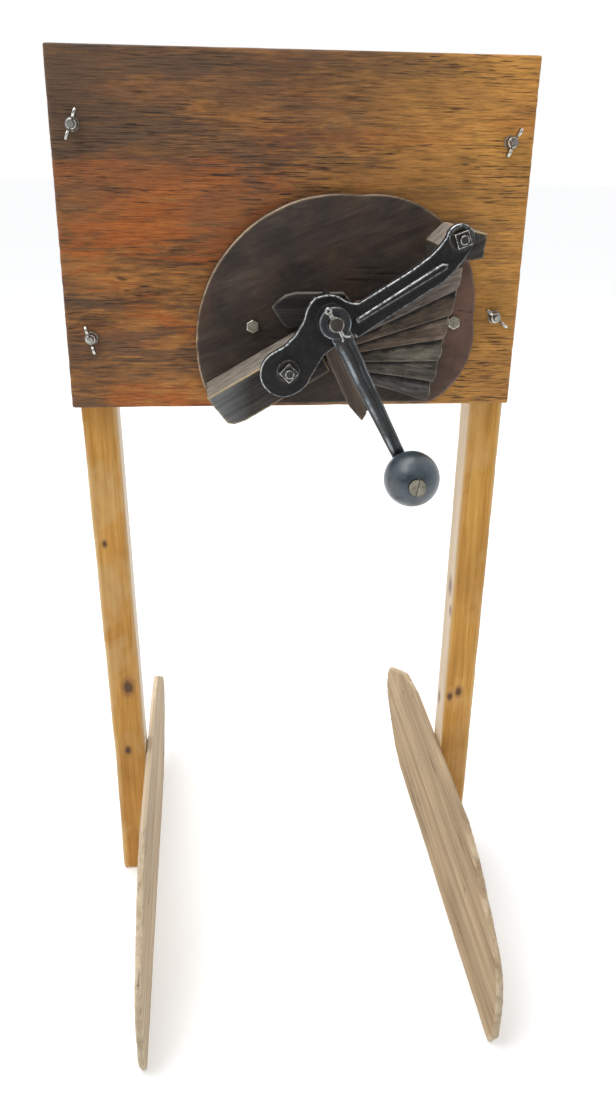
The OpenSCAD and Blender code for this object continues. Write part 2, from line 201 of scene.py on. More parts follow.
def wooden(name, node, material, voxel, grain, seed, smooth=2, fibre=0.12, wave=0.3,
           crack=0.5, chip=0.8, crack_scale=220):
    """A weathered wooden piece over one CAD node. The depths of its fibres, waves, cracks and
    chipped edges are in millimetres, and crack_scale is how many cracks a metre could hold."""
    ob = skin(name, node, voxel)
    me = ob.data
    co = relaxed(points(me), edge_pairs(me), smooth)
    set_points(me, co)
    wear = convexity(me, co, 8)
    no = normals(me)
    q = co @ grain.T
    edge = np.clip(wear, 0, 1)
    d = fibre * fbm(q, (25, 420, 420), seed, 3)
    d += wave * fbm(q, (9, 40, 40), seed + 5, 2)
    line = vnoise(q * np.array([9, crack_scale, crack_scale]), seed + 9)
    where = np.clip(vnoise(q * np.array([14, 34, 34]), seed + 11) * 2.2 - 0.25, 0, 1)
    split = np.clip(1 - np.abs(line) / 0.09, 0, 1) * where
    d -= crack * split
    bite = np.clip(fbm(q, (45, 130, 130), seed + 3, 3) * 1.6, 0, 1)
    d -= chip * edge * (0.25 + bite)
    co = keep_in(co + no * (np.minimum(d, 0.3) * MM)[:, None], node)
    set_points(me, co)
    note(me, "wear", wear)
    note(me, "split", split * (crack > 0))
    ends = np.abs(no @ grain[0])
    note(me, "endgrain", np.clip((ends - 0.6) / 0.3, 0, 1))
    return finish_piece(ob, node, "stand", material)


# ---------------------------------------------------------------- materials


class Tree:
    """A material's node tree, built node by node."""

    def __init__(self, name):
        self.material = bpy.data.materials.new(name)
        self.material.use_nodes = True
        self.t = self.material.node_tree
        self.t.nodes.clear()
        out = self.t.nodes.new("ShaderNodeOutputMaterial")
        self.shader = self.t.nodes.new("ShaderNodeBsdfPrincipled")
        self.t.links.new(self.shader.outputs[0], out.inputs[0])
        self.where = self.node("ShaderNodeTexCoord").outputs["Object"]

    def node(self, kind, inputs=None, **props):
        n = self.t.nodes.new(kind)
        for k, v in props.items():
            setattr(n, k, v)
        for k, v in (inputs or {}).items():
            self.put(n.inputs[k], v)
        return n

    def put(self, socket, v):
        """Links a socket or sets a constant."""
        if isinstance(v, bpy.types.NodeSocket):
            self.t.links.new(v, socket)
        else:
            socket.default_value = v

    def set(self, **values):
        """Sets the surface shader's inputs, with _ for a space in their names."""
        for k, v in values.items():
            self.put(self.shader.inputs[k.replace("_", " ")], v)

    def math(self, op, a, b=0.0, c=None, clamp=False):
        n = self.node("ShaderNodeMath", {0: a, 1: b}, operation=op, use_clamp=clamp)
        if c is not None:
            self.put(n.inputs[2], c)
        return n.outputs[0]

    def facing(self, direction):
        """How far the surface faces a direction, in the object's own axes."""
        normal = self.node("ShaderNodeTexCoord").outputs["Normal"]
        return self.node("ShaderNodeVectorMath", {0: normal, 1: Vector(direction).normalized()},
                         operation="DOT_PRODUCT").outputs["Value"]

    def attr(self, name):
        """A number stored on the mesh by note()."""
        return self.node("ShaderNodeAttribute", attribute_name=name).outputs["Fac"]

    def place(self, turn=(0, 0, 0), scale=(1, 1, 1), shift=(0, 0, 0)):
        """The object's coordinates turned by degrees, then scaled and shifted."""
        turned_to = self.node("ShaderNodeMapping", {
            "Vector": self.where, "Rotation": [math.radians(a) for a in turn]}).outputs[0]
        return self.node("ShaderNodeMapping", {
            "Vector": turned_to, "Scale": scale, "Location": shift}).outputs[0]

    def noise(self, vector, scale=1.0, detail=4.0, rough=0.55, distort=0.0):
        return self.node("ShaderNodeTexNoise", {
            "Vector": vector, "Scale": scale, "Detail": detail, "Roughness": rough,
            "Distortion": distort}).outputs["Fac"]

    def ramp(self, fac, stops):
        """stops: (position, colour or grey) pairs."""
        n = self.node("ShaderNodeValToRGB", {0: fac})
        r = n.color_ramp
        while len(r.elements) < len(stops):
            r.elements.new(0.5)
        for e, (pos, c) in zip(r.elements, stops):
            e.position = pos
            e.color = (c, c, c, 1) if isinstance(c, (int, float)) else (*c, 1)
        return n.outputs[0]

    def span(self, fac, lo, hi, out_lo=0.0, out_hi=1.0):
        """Maps lo to hi onto out_lo to out_hi, held at both ends."""
        return self.node("ShaderNodeMapRange", {
            "Value": fac, "From Min": lo, "From Max": hi, "To Min": out_lo,
            "To Max": out_hi}).outputs[0]

    def mix(self, fac, a, b, mode="MIX"):
        n = self.node("ShaderNodeMix", data_type="RGBA", blend_type=mode, clamp_factor=True)
        self.put(n.inputs[0], fac)
        for k, v in ((6, a), (7, b)):
            self.put(n.inputs[k], (*v, 1) if isinstance(v, tuple) and len(v) == 3 else v)
        return n.outputs[2]

    def at_x(self):
        """The X coordinate in metres."""
        return self.node("ShaderNodeSeparateXYZ", {0: self.where}).outputs[0]

    def bump(self, layers):
        """layers: (height, strength, distance in millimetres), the last on top."""
        last = None
        for height, strength, distance in layers:
            n = self.node("ShaderNodeBump", {"Height": height, "Strength": strength,
                                             "Distance": distance * MM})
            if last is not None:
                self.put(n.inputs["Normal"], last)
            last = n.outputs[0]
        self.put(self.shader.inputs["Normal"], last)


def wood(name, dark, mid, light, turn, seed, fine=520, long=14, broad=60, patch=11, contrast=0.5,
         rough=(0.5, 0.8), grime=0.3, edge=None, edge_amount=0.5, end=None, relief=0.3, coat=0.0,
         pores=0.5, tint=None, top=None, lit=None, sharp=0.15, extra=None):
    """Grained wood. turn lays the grain along the texture's X axis, and fine, long, broad and
    patch are waves per metre. tint is a colour and its amount in patches, and top is painted
    light: a paler colour and its amount on faces that look up. Edges above the convexity sharp
    wear to the edge colour, most on the side facing lit, a painted highlight. end is the end
    grain's colour, and extra(tree, colour, streaks) may change the colour before the cracks."""
    t = Tree(name)
    off = (seed * 1.37, seed * 0.71, seed * 2.13)
    fibres = t.noise(t.place(turn, (long, fine, fine), off), 1, 6, 0.62, 0.25)
    streaks = t.noise(t.place(turn, (long * 0.28, broad, broad), off), 1, 5, 0.6, 0.6)
    patches = t.noise(t.place(turn, (patch * 0.6, patch, patch), off), 1, 3, 0.5, 0.3)
    lines = t.noise(t.place(turn, (long * 0.8, fine * 0.55, fine * 0.55), off), 1, 3, 0.5, 0.1)
    tone = t.math("MULTIPLY_ADD", fibres, contrast, t.math("MULTIPLY", streaks, 1 - contrast))
    colour = t.ramp(tone, [(0.33, dark), (0.5, mid), (0.66, light)])
    colour = t.mix(t.span(patches, 0.42, 0.66, 0, grime), colour, tuple(0.55 * c for c in dark))
    if tint:
        where = t.noise(t.place(turn, (patch * 0.9, patch * 1.6, patch * 1.6),
                                (off[2], off[0], off[1])), 1, 3, 0.5, 0.4)
        colour = t.mix(t.span(where, 0.5, 0.66, 0, tint[1]), colour, tint[0])
    dark_lines = t.span(lines, 0.60, 0.70, 0, pores)
    colour = t.mix(dark_lines, colour, tuple(0.3 * c for c in dark))
    if extra:
        colour = extra(t, colour, streaks)
    # Painted light: faces that look up are paler, broken into spots
    if top:
        up = t.facing((-0.45, 0.0, 0.9))
        spots = t.noise(t.place(turn, (70, 210, 210), off), 1, 4, 0.65, 0.3)
        colour = t.mix(t.math("MULTIPLY", t.span(up, 0.55, 0.8, 0, top[1]),
                              t.span(spots, 0.34, 0.58, 0.35, 1)), colour, top[0])
    cracks = t.span(t.attr("split"), 0.2, 0.9, 0, 0.85)
    colour = t.mix(cracks, colour, tuple(0.18 * c for c in dark))
    if end:
        colour = t.mix(t.math("MULTIPLY", t.attr("endgrain"), t.span(streaks, 0.3, 0.6, 0.5, 1)),
                       colour, end)
    if edge:
        worn = t.math("MULTIPLY", t.span(t.attr("wear"), sharp, sharp + 0.45, 0, edge_amount),
                      t.span(streaks, 0.36, 0.6, 0.25, 1))
        # Painted highlight: worn edges that face lit are lighter
        if lit:
            worn = t.math("MULTIPLY", worn, t.span(t.facing(lit), 0.0, 0.6, 0.25, 1))
        colour = t.mix(worn, colour, edge)
    t.set(Base_Color=colour, Roughness=t.span(tone, 0.35, 0.65, rough[1], rough[0]),
          Specular_IOR_Level=0.25)
    if coat:
        t.set(Coat_Weight=coat, Coat_Roughness=0.25)
    t.bump([(streaks, 0.35, relief * 2), (fibres, 0.6, relief),
            (t.math("SUBTRACT", 1.0, dark_lines), 0.5, relief)])
    return t


def metal(name, base, worn, stain, seed, rough=(0.3, 0.6), metallic=1.0, stain_amount=0.5,
          edge=(0.15, 0.6, 0.9), grain=0.06, scale=900, specular=0.5, lit=None, spots=320):
    """Plated, painted or bare metal, with stains, small pits and worn edges. edge is the span of
    convexity over which the edges wear, with the amount. lit, where given, makes the worn edges
    that face it brightest: a painted highlight."""
    t = Tree(name)
    at = t.place(shift=(seed * 0.61, seed * 1.9, seed * 0.33))
    fine = t.noise(at, scale, 5, 0.6)
    broad = t.noise(at, 90, 5, 0.62, 0.4)
    colour = t.mix(t.span(broad, 0.35, 0.65, 0, 1), tuple(0.7 * c for c in base), base)
    colour = t.mix(t.span(t.noise(at, 210, 4, 0.6), 0.48, 0.66, 0, stain_amount), colour, stain)
    rub = t.math("MULTIPLY", t.span(t.attr("wear"), edge[0], edge[1], 0, edge[2]),
                 t.span(t.noise(at, spots, 4, 0.6), 0.36, 0.56, 0.15, 1))
    # Painted highlight: the worn edges that face lit are brightest
    if lit:
        rub = t.math("MULTIPLY", rub, t.span(t.facing(lit), -0.1, 0.55, 0.12, 1))
    t.set(Base_Color=t.mix(rub, colour, worn), Specular_IOR_Level=specular, Roughness=t.math(
        "SUBTRACT", t.span(broad, 0.3, 0.7, rough[1], rough[0]), t.math("MULTIPLY", rub, 0.12)))
    # Painted iron shows metal only on its worn edges and painted highlights
    t.set(Metallic=metallic if metallic == 1 else t.span(rub, 0.1, 0.7, 0.05, metallic))
    t.bump([(broad, 0.3, grain * 4), (fine, 0.5, grain)])
    return t.material


# Turns for place(): the grain runs along X, along Z, along Y, or at an angle in the X-Z plane
TURN_X = (0, 0, 0)
TURN_Z = (0, 90, 0)
TURN_Y = (0, 0, 90)


def turned(angle):
    return (0, angle, 0)


# Slopes of the blocks, the slat and the fan's leaves, in degrees and in millimetres
BLOCK_SLOPE = 30
SLAT_SLOPE = -64
LEAF_RUN, LEAF_RISE, LEAF_STEP = 147, 68, 22.6


def plywood():
    """Stained plywood: mottled brown, orange and tan veneer, dark weathering, layered edges."""
    t = Tree("Plywood")

    def layer(scale, detail, rough, distort, shift):
        return t.noise(t.place(scale=scale, shift=shift), 1, detail, rough, distort)

    fibres = layer((65, 720, 720), 6, 0.68, 0.2, (1, 2, 3))
    streaks = layer((20, 150, 150), 7, 0.7, 0.5, (4, 2, 7))
    patches = layer((4.5, 15, 15), 5, 0.6, 0.8, (0.4, 5, 1.2))
    reds = layer((6, 21, 21), 4, 0.6, 0.6, (7.7, 3, 2.6))
    cloud = layer((5, 13, 13), 4, 0.6, 0.5, (4.1, 0, 2.2))
    tone = t.math("MULTIPLY_ADD", streaks, 0.5, t.math("MULTIPLY", patches, 0.5))
    colour = t.ramp(tone, [(0.36, (0.095, 0.048, 0.024)), (0.46, (0.22, 0.096, 0.031)),
                           (0.54, (0.41, 0.168, 0.042)), (0.66, (0.52, 0.250, 0.070))])
    crisp = layer((26, 300, 300), 5, 0.7, 0.2, (3, 8, 6))
    reds = t.math("ADD", reds, t.math("MULTIPLY", t.math("SUBTRACT", crisp, 0.5), 0.55))
    colour = t.mix(t.span(reds, 0.51, 0.59, 0, 0.75), colour, (0.42, 0.110, 0.020))
    sep = t.node("ShaderNodeSeparateXYZ", {0: t.where})
    side = t.span(sep.outputs[0], -0.21, 0.21)
    upper = t.span(sep.outputs[2], 0.72, 0.89)
    # Darker to the upper left, yellower to the right
    shade = t.math("ADD", t.math("MULTIPLY", upper, t.math("SUBTRACT", 1.2, side)),
                   t.span(cloud, 0.35, 0.68, -0.5, 0.45))
    shade = t.math("ADD", shade, t.span(side, 0.5, 0.05, 0, 0.42))
    colour = t.mix(t.math("MULTIPLY", shade, 0.78, clamp=True), colour, (0.155, 0.082, 0.043))
    gold = t.math("MULTIPLY", t.span(side, 0.5, 0.9), t.span(cloud, 0.66, 0.4, 0.35, 0.9))
    colour = t.mix(gold, colour, (0.62, 0.305, 0.070))
    colour = t.mix(0.85, colour, t.ramp(fibres, [(0.30, 0.52), (0.5, 1.0), (0.68, 1.35)]),
                   "MULTIPLY")
    # Weathered places: grey-brown with fine dark grain, in ragged patches
    worn = t.math("ADD", layer((7, 26, 26), 4, 0.6, 0.5, (11, 4, 9)),
                  t.math("MULTIPLY", t.math("SUBTRACT", crisp, 0.5), 0.6))
    worn = t.math("ADD", worn, t.math("MULTIPLY", shade, 0.10))
    worn = t.math("MULTIPLY", t.span(worn, 0.545, 0.62), t.span(side, 0.4, 0.95, 1, 0.35))
    colour = t.mix(t.math("MULTIPLY", worn, 0.62), colour, (0.105, 0.066, 0.043))
    hairs = layer((22, 1150, 1150), 3, 0.6, 0.1, (5, 5, 2))
    hair = t.math("MULTIPLY", t.span(hairs, 0.54, 0.62), t.span(worn, 0, 1, 0.3, 0.85))
    colour = t.mix(hair, colour, (0.040, 0.026, 0.019))
    # Splits: short dark dashes along the grain
    dashes = layer((46, 860, 860), 2, 0.5, 0.1, (9, 1, 5))
    gate = layer((9, 30, 30), 3, 0.6, 0.3, (1, 6, 3))
    dash = t.math("MULTIPLY", t.span(dashes, 0.57, 0.66), t.span(gate, 0.40, 0.58, 0.12, 0.9))
    colour = t.mix(dash, colour, (0.030, 0.019, 0.014))
    colour = t.mix(t.span(t.attr("split"), 0.2, 0.9, 0, 0.85), colour, (0.02, 0.012, 0.01))
    # Layers on the edges
    bands = t.node("ShaderNodeTexWave", {
        "Vector": t.place(scale=(0, 1, 0)), "Scale": 98.0, "Distortion": 0.6, "Detail": 2.0},
        wave_type="BANDS", bands_direction="Y").outputs["Fac"]
    plies = t.ramp(bands, [(0.25, (0.085, 0.052, 0.047)), (0.7, (0.17, 0.10, 0.075))])
    on_edge = t.span(t.math("ABSOLUTE", t.facing((0, 1, 0))), 0.5, 0.25)
    colour = t.mix(on_edge, colour, plies)
    t.set(Base_Color=colour, Roughness=t.span(tone, 0.35, 0.65, 0.72, 0.5),
          Specular_IOR_Level=0.25)
    t.bump([(streaks, 0.35, 0.5), (fibres, 0.6, 0.3), (t.math("SUBTRACT", 1.0, dash), 0.6, 0.35)])
    return t.material


def painted_light_inside(t, colour, streaks):
    """Painted light: the inner faces of the legs are painted paler than the fronts."""
    inside = t.span(t.math("ABSOLUTE", t.facing((1, 0, 0))), 0.6, 0.9, 0, 0.85)
    painted_pale = t.mix(streaks, (0.40, 0.30, 0.17), (0.58, 0.46, 0.31))
    return t.mix(inside, colour, painted_pale)


def knots(t, centres, colour):
    """Adds dark knots at points (x, y, z, radius in metres) to a pine material."""
    base = t.shader.inputs["Base Color"].links[0].from_socket
    for x, y, z, r in centres:
        d = t.node("ShaderNodeVectorMath", {0: t.where, 1: (x, y, z)}, operation="SUBTRACT")
        flat = t.node("ShaderNodeVectorMath", {0: d.outputs[0], 1: (1, 1, 0.62)},
                      operation="MULTIPLY")
        far = t.node("ShaderNodeVectorMath", {0: flat.outputs[0]}, operation="LENGTH")
        wobble = t.noise(t.where, 260, 3, 0.6)
        dist = t.math("MULTIPLY_ADD", wobble, 0.5 * r, far.outputs["Value"])
        halo = t.span(dist, 1.6 * r, 0.9 * r)
        base = t.mix(t.math("MULTIPLY", halo, 0.75), base, colour)
        core = t.span(dist, 0.95 * r, 0.7 * r)
        base = t.mix(t.math("MULTIPLY", core, 0.85), base, tuple(0.35 * c for c in colour))
    t.set(Base_Color=base)


# ---------------------------------------------------------------- wooden pieces

wooden("Board", "backboard", plywood(), 2.0, along(0), 11, smooth=1, fibre=0.10,
       wave=0.15, chip=0.7)

leg_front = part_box("left_leg")[0].y
LEGS = {
    "left": dict(
        shades=((0.36, 0.150, 0.020), (0.52, 0.242, 0.034), (0.63, 0.35, 0.080)),
        seeds=(7.0, 21), grime=0.30, edge=(0.70, 0.50, 0.26), tint=((0.60, 0.39, 0.16), 0.5),
        knot=(0.20, 0.08, 0.025),
        knots=[(-0.182, leg_front, 0.256, 0.0075), (-0.187, leg_front, 0.172, 0.004),
               (-0.196, leg_front, 0.43, 0.003)]),
    "right": dict(
        shades=((0.42, 0.18, 0.024), (0.60, 0.290, 0.042), (0.73, 0.42, 0.085)),
        seeds=(13.0, 22), grime=0.26, edge=(0.76, 0.54, 0.28), tint=((0.70, 0.40, 0.14), 0.5),
        knot=(0.26, 0.11, 0.035),
        knots=[(0.180, 0.012, 0.362, 0.008), (0.180, 0.004, 0.335, 0.005),
               (0.196, leg_front, 0.232, 0.005), (0.186, leg_front, 0.226, 0.004),
               (0.180, 0.020, 0.212, 0.006)])}
for side, leg in LEGS.items():
    pine = wood(f"Pine_{side}", *leg["shades"], TURN_Z, leg["seeds"][0], fine=430, long=15,
                broad=120, patch=20, contrast=0.4, rough=(0.3, 0.5), grime=leg["grime"],
                relief=0.12, pores=0.18, coat=0.15, edge=leg["edge"], tint=leg["tint"],
                end=(0.30, 0.18, 0.08), extra=painted_light_inside)
    knots(pine, leg["knots"], leg["knot"])
    wooden(f"Leg_{side}", f"{side}_leg", pine.material, 2.2, GRAIN_Z, leg["seeds"][1],
           fibre=0.05, wave=0.12, crack=0.0, chip=0.6)

for side, seed, shades in (
        ("left", 31, ((0.28, 0.205, 0.13), (0.50, 0.39, 0.265), (0.66, 0.54, 0.385))),
        ("right", 32, ((0.23, 0.155, 0.085), (0.40, 0.285, 0.165), (0.54, 0.41, 0.255)))):
    plank = wood(f"Plank_{side}", *shades, TURN_Y, seed, fine=430, long=6, broad=85, patch=9,
                 rough=(0.62, 0.88), grime=0.22, relief=0.35, edge=(0.66, 0.55, 0.40),
                 end=(0.36, 0.28, 0.19), tint=((0.50, 0.36, 0.21), 0.5))
    wooden(f"Foot_{side}", f"{side}_foot", plank.material, 2.0, GRAIN_Y, seed,
           fibre=0.18, crack=0.6, chip=0.9, crack_scale=150)


def reddened(t, colour, streaks):
    """The plate is redder and paler towards its right edge, with darker blotches."""
    right_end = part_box("back_plate")[1].x
    blot = t.noise(t.where, 26, 5, 0.65, 0.4)
    colour = t.mix(t.span(blot, 0.42, 0.62, 0.0, 0.55), colour, (0.034, 0.028, 0.025))
    brown = t.noise(t.place(shift=(3, 1, 2)), 17, 4, 0.6, 0.4)
    colour = t.mix(t.span(brown, 0.5, 0.66, 0, 0.6), colour, (0.105, 0.060, 0.038))
    far = t.math("MULTIPLY", t.span(t.at_x(), right_end - 0.06, right_end - 0.01, 0, 0.75),
                 t.span(blot, 0.62, 0.4, 0.5, 1))
    return t.mix(far, colour, (0.22, 0.118, 0.082))


# The plate's upper-left rim is a painted highlight, given through lit
plate_wood = wood("Plate_wood", (0.036, 0.027, 0.022), (0.070, 0.050, 0.039),
                  (0.120, 0.088, 0.068), turned(22), 41, fine=330, long=46, patch=16,
                  contrast=0.3, grime=0.35, relief=0.35, pores=0.25, edge=(0.52, 0.38, 0.25),
                  edge_amount=1.0, end=(0.05, 0.04, 0.03), lit=(-0.75, 0, 0.6), sharp=0.45,
                  extra=reddened)
wooden("Plate", "back_plate", plate_wood.material, 1.3, along(0), 41, smooth=1,
       fibre=0.10, wave=0.15, crack=0.4, chip=0.5)
# The cheek's top edge is a painted highlight, given through lit
cheek_wood = wood("Cheek_wood", (0.015, 0.014, 0.013), (0.030, 0.028, 0.025),
                  (0.060, 0.056, 0.050), TURN_X, 42, fine=460, long=16, broad=70, patch=16,
                  grime=0.35, relief=0.35, pores=0.45, edge=(0.26, 0.23, 0.19),
                  edge_amount=0.8, lit=(-0.2, 0, 1))
wooden("Cheek", "rear_bearing_block", cheek_wood.material, 0.7, along(0), 42,
       smooth=14, crack=0.6)


def painted_sheen(t, colour, streaks):
    """Painted sheen: a grey reflection at the left of the long block's front."""
    left_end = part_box("long_block")[0].x
    grey = t.math("MULTIPLY", t.span(t.at_x(), left_end + 0.04, left_end + 0.01, 0, 0.85),
                  t.span(t.facing((0, -1, 0)), 0.5, 0.9))
    grey = t.math("MULTIPLY", grey, t.span(streaks, 0.35, 0.6, 0.5, 1))
    return t.mix(grey, colour, (0.23, 0.245, 0.24))


# Old hardwood with painted light: paler on the faces that look up, and a painted highlight on
# the edges facing the light; the short block is a little lighter
for name, node, look, seed, gain in (("Long_block", "long_block", "Block_wood", 51, 1.0),
                                     ("Short_block", "short_block", "Short_block_wood", 52, 1.6)):
    shades = [tuple(gain * c for c in shade) for shade in (
        (0.017, 0.0145, 0.0125), (0.034, 0.029, 0.025), (0.075, 0.064, 0.054))]
    block_wood = wood(look, *shades, turned(BLOCK_SLOPE), seed, fine=620, long=22, broad=110,
                      patch=24, edge=(0.50, 0.37, 0.19), edge_amount=0.9,
                      end=(0.05, 0.045, 0.038), top=((0.34, 0.295, 0.245), 0.9),
                      lit=(-0.4, -0.5, 0.8), extra=painted_sheen)
    wooden(name, node, block_wood.material, 1.0, along(BLOCK_SLOPE), seed,
           chip=1.0)

LEAF_COLOURS = [
    ((0.080, 0.063, 0.053), (0.180, 0.144, 0.120), (0.34, 0.29, 0.25)),
    ((0.055, 0.040, 0.029), (0.120, 0.086, 0.061), (0.23, 0.172, 0.125)),
    ((0.062, 0.043, 0.031), (0.145, 0.102, 0.074), (0.29, 0.215, 0.16)),
    ((0.070, 0.061, 0.046), (0.165, 0.147, 0.112), (0.31, 0.285, 0.23)),
    ((0.062, 0.053, 0.043), (0.145, 0.126, 0.103), (0.26, 0.24, 0.205)),
    ((0.045, 0.040, 0.036), (0.100, 0.090, 0.082), (0.20, 0.185, 0.17))]


def painted_step_shadow(t, colour, streaks):
    """Painted shadow: darkens the step under the edge of the leaf in front."""
    return t.mix(t.attr("step_shadow"), colour, (0.009, 0.0075, 0.0065))


# Each leaf gets a painted shadow just under the lower edge of the leaf before it, which lies in
# front
edge_before = None
for k, shades in enumerate(LEAF_COLOURS):
    slope = math.degrees(math.atan2(LEAF_RISE - LEAF_STEP * k, LEAF_RUN))
    # The leaf ends that face lit carry a painted highlight
    look = wood(f"Leaf_wood_{k + 1}", *shades, turned(slope), 61 + k, fine=430, long=60,
                broad=150, patch=60, contrast=0.45, grime=0.55, relief=0.5, pores=0.7,
                edge=(0.38, 0.33, 0.26), edge_amount=0.8, end=(0.04, 0.035, 0.03),
                lit=(0.8, -0.2, 0.75), sharp=0.25, extra=painted_step_shadow)
    leaf = wooden(f"Leaf_{k + 1}", f"leaf_{k + 1}", look.material, 0.7,
                  along(slope), 61 + k, fibre=0.25, wave=0.5, crack=1.1, chip=1.6,
                  crack_scale=260)
    co = points(leaf.data)
    step_shadow = np.zeros(len(co))
    if edge_before:
        turn_to, height = edge_before
        below = height - (co @ turn_to.T)[:, 2]
        rag = 2.6 * MM * fbm(co, (150, 150, 150), 90 + k, 3)
        step_shadow = np.clip(1 - (below - 3.2 * MM + rag) / (3 * MM), 0, 1) * (below > -8 * MM)
    note(leaf.data, "step_shadow", step_shadow * 0.95)
    cad = points(NODES[f"leaf_{k + 1}"].data) @ along(slope).T
    edge_before = (along(slope), cad[:, 2].min())

for node, seed in (("front_slat", 71), ("second_slat", 72)):
    look = wood(f"Slat_wood_{seed}", (0.045, 0.034, 0.026), (0.11, 0.082, 0.062),
                (0.22, 0.17, 0.132), turned(SLAT_SLOPE), seed, fine=620, long=20, broad=170,
                patch=30, edge=(0.24, 0.19, 0.14), edge_amount=0.6)
    wooden(node.title(), node, look.material, 0.6, along(SLAT_SLOPE), seed,
           fibre=0.15, wave=0.25, chip=0.7)

# ---------------------------------------------------------------- castings and fittings

IRON = metal("Black_iron", (0.009, 0.010, 0.011), (0.27, 0.30, 0.325), (0.022, 0.018, 0.016), 5,
             rough=(0.2, 0.36), metallic=0.5, stain_amount=0.4, edge=(0.25, 0.8, 0.95),
             grain=0.05, scale=750, specular=0.45, spots=60)
# The bridge's bright upper edges are a painted highlight, given through lit
BRIDGE_IRON = metal("Bridge_iron", (0.016, 0.0155, 0.0155), (0.62, 0.64, 0.65),
                    (0.032, 0.026, 0.022), 6, rough=(0.34, 0.55), metallic=0.5,
                    edge=(0.24, 0.6, 1.0), grain=0.10, scale=750, specular=0.2,
                    lit=(-0.55, -0.3, 0.8))
SOOTY = metal("Sooty_iron", (0.014, 0.012, 0.011), (0.035, 0.031, 0.028), (0.030, 0.018, 0.012), 7,
              rough=(0.45, 0.7), metallic=0.3, grain=0.10, specular=0.2)
STEEL = metal("Grey_steel", (0.075, 0.073, 0.070), (0.62, 0.62, 0.60), (0.045, 0.033, 0.025), 8,
              rough=(0.25, 0.5), stain_amount=0.6, edge=(0.15, 0.6, 1.0), grain=0.08, scale=1100)
OILY = metal("Dark_iron", (0.075, 0.066, 0.058), (0.34, 0.33, 0.31), (0.10, 0.055, 0.03), 9,
             rough=(0.3, 0.55), grain=0.08, scale=1100)
ZINC = metal("Zinc", (0.48, 0.47, 0.43), (0.88, 0.88, 0.84), (0.10, 0.09, 0.07), 12,
             rough=(0.24, 0.45), stain_amount=0.7, scale=1400)
BRASS = metal("Dull_brass", (0.31, 0.29, 0.23), (0.68, 0.65, 0.54), (0.10, 0.085, 0.06), 15,
              rough=(0.28, 0.5), stain_amount=0.7, scale=1300)
PIN = metal("Pin_steel", (0.62, 0.62, 0.60), (0.85, 0.85, 0.83), (0.20, 0.18, 0.15), 18,
            rough=(0.18, 0.35), grain=0.04, scale=1500)


def casting(name, node, body, material, voxel, smooth, seed, lumps=0.12, shape=None,
            painted_highlight=None):
    """A casting wrapped over one CAD node, with softened edges and a slightly uneven skin.
    shape moves its points, and the last argument paints highlights: places as bright as the
    worn edges."""
    ob = skin(name, node, voxel)
    me = ob.data
    co = relaxed(points(me), edge_pairs(me), smooth)
    if shape:
        co = shape(co)
    set_points(me, co)
    wear = convexity(me, co, 10)
    # The painted highlight bands are stored with the edge wear
    if painted_highlight:
        wear = np.maximum(wear, painted_highlight(co))
    d = lumps * fbm(co, (110, 110, 110), seed, 3)
    set_points(me, co + normals(me) * (d * MM)[:, None])
    note(me, "wear", wear)
    return finish_piece(ob, node, body, material)


casting("Iron_bridge", "iron_bridge", "stand", BRIDGE_IRON, 0.7, 3, 81)

# The arm's half-width in millimetres at the hub and how much of it is lost by the eye, and
# where the hub ends and the eye begins along it
ARM_HALF, ARM_TAPER = 9.25, 3.5
HUB_END, EYE_START = 0.105, 0.905


def arm_frame(co):
    """Along the crank's arm (0 at the hub, 1 at the eye), across it (-1 to 1), and 1 on the arm."""
    pin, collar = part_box("knob_screw"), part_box("shaft_collar")
    x0, z0 = (collar[0].x + collar[1].x) / 2, (collar[0].z + collar[1].z) / 2
    x1, z1 = (pin[0].x + pin[1].x) / 2, (pin[0].z + pin[1].z) / 2
    length = math.hypot(x1 - x0, z1 - z0)
    ux, uz = (x1 - x0) / length, (z1 - z0) / length
    s = ((co[:, 0] - x0) * ux + (co[:, 2] - z0) * uz) / length
    across = (co[:, 2] - z0) * ux - (co[:, 0] - x0) * uz
    half = (ARM_HALF - ARM_TAPER * np.clip(s, 0, 1)) * MM
    on_arm = np.clip((s - HUB_END) / 0.05, 0, 1) * np.clip((EYE_START - s) / 0.05, 0, 1)
    return s, across / half, on_arm


def crowned(co):
    """Rounds the front of the crank's arm."""
    s, across, on_arm = arm_frame(co)
    depth = np.clip((co[:, 1].min() + 11 * MM - co[:, 1]) / (8 * MM), 0, 1)
    out = co.copy()
    out[:, 1] += 4.4 * MM * on_arm * depth * np.clip(np.abs(across), 0, 1.1) ** 2
    return out


def painted_arm_highlights(co):
    """Painted highlights: bright bands along the front of the arm, in the colour of the worn edges.
    """
    s, across, on_arm = arm_frame(co)
    across = across + 0.10 * fbm(co, (60, 60, 60), 7, 2)

    def band(middle, width):
        return np.clip(1.3 - np.abs(across - middle) / width, 0, 1)

    broken = np.clip(0.85 + 0.6 * fbm(co, (70, 70, 70), 8, 3), 0, 1)
    front = co[:, 1] < co[:, 1].min() + 9 * MM
    return on_arm * front * broken * np.maximum.reduce(
        [0.95 * band(-0.56, 0.24), 0.5 * band(0.36, 0.16), 0.85 * band(0.86, 0.10)])


casting("Crank", "crank_arm", "crank", IRON, 0.6, 4, 82, shape=crowned,
        painted_highlight=painted_arm_highlights)
casting("Wing_nuts", "wing_nuts", "stand", ZINC, 0.45, 3, 83, lumps=0.08)
casting("Drum", "shelling_drum", "crank", SOOTY, 0.8, 3, 84)
casting("Bridge_nuts", "bridge_nuts", "stand", STEEL, 0.4, 2, 85, lumps=0.1)
casting("Bridge_bolts", "bridge_bolts", "stand", STEEL, 0.5, 2, 86, lumps=0.1)
casting("Crankshaft", "crankshaft", "crank", OILY, 0.5, 2, 87, lumps=0.06)
casting("Plate_bolts", "plate_bolts", "stand", BRASS, 0.4, 2, 88, lumps=0.08)

